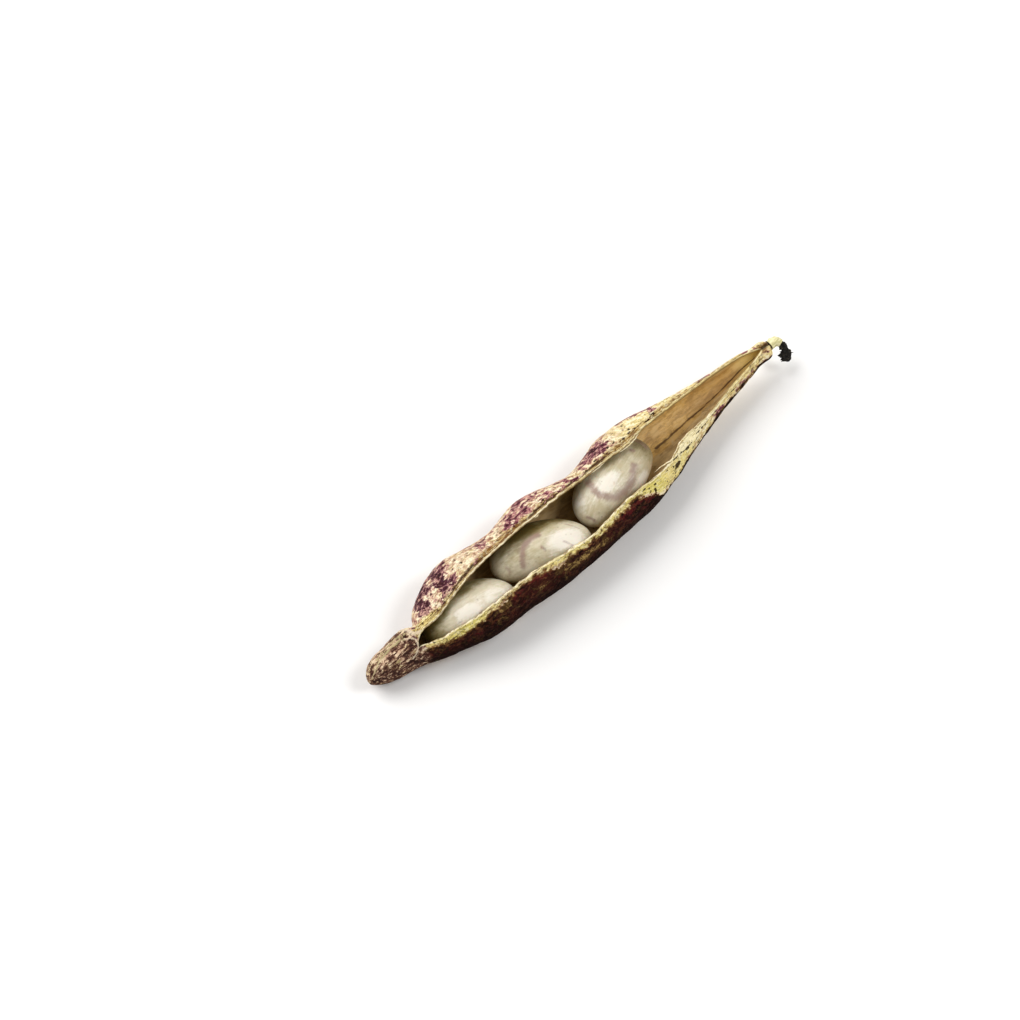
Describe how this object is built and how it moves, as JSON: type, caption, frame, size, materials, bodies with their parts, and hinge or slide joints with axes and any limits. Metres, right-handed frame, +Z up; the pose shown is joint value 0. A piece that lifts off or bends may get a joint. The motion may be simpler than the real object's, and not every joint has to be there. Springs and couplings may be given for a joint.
{
  "type": "cranberry bean pod",
  "caption": "Fresh cranberry bean pod split open along its seam, with beans lying in its hollow and a short bent stalk.",
  "frame": {"origin": "middle of the pod's underside, on the surface it lies on", "axes": "+X along the pod towards its stalk, +Y across it towards the valve with three bulges, +Z up out of the open split"},
  "size_m": [0.107, 0.0189, 0.0118],
  "materials": {
    "husk": "soft sheen, cream mottled with purple and maroon, tan inside",
    "seed": "satin, pale cream with faint purple streaks",
    "scar": "matte, dark brown",
    "stalk": "matte, pale yellow-green",
    "withered": "matte, black and shrivelled"
  },
  "bodies": {
    "root": {"pod_shell": "husk", "bean_lower": "seed", "bean_middle": "seed", "bean_upper": "seed", "calyx_collar": "scar", "stalk": "stalk", "withered_tip": "withered"}
  },
  "joints": []
}
